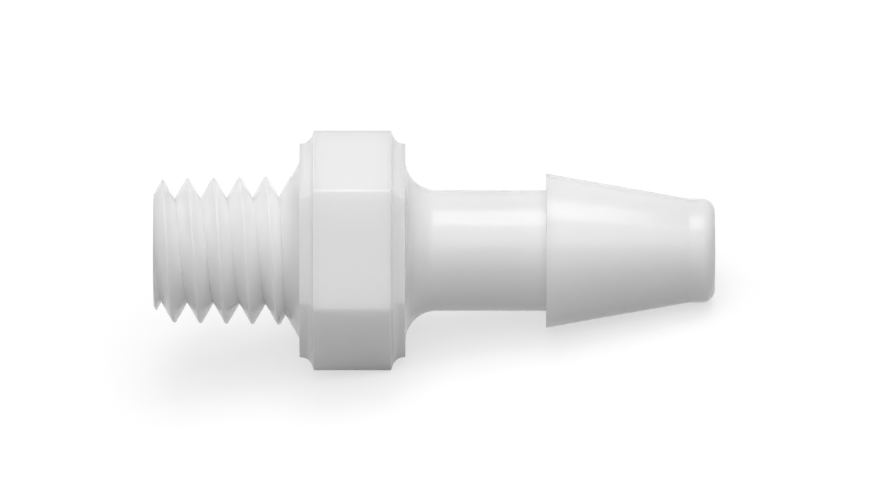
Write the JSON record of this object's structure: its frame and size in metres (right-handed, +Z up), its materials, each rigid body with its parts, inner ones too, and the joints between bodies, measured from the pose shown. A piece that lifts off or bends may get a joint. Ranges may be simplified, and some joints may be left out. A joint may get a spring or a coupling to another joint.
{
  "type": "threaded hose nipple",
  "caption": "Moulded plastic fitting with a fine male thread, a cone collar, a hexagon with hollowed ends, a slim neck and a hose barb, bored right through.",
  "frame": {"origin": "middle of the fitting's footprint, on the surface that it lies on", "axes": "+Z up; the fitting lies along X, its barb towards +X and its thread towards -X; its own axis dips 9.9 degrees towards +X, because it rests on the end of one hexagon flat and on the barb's rim"},
  "size_m": [0.0174, 0.0074, 0.0067],
  "materials": {
    "moulded_plastic": "satin, as moulded, white"
  },
  "bodies": {
    "root": {"hose_nipple": "moulded_plastic"}
  },
  "joints": []
}
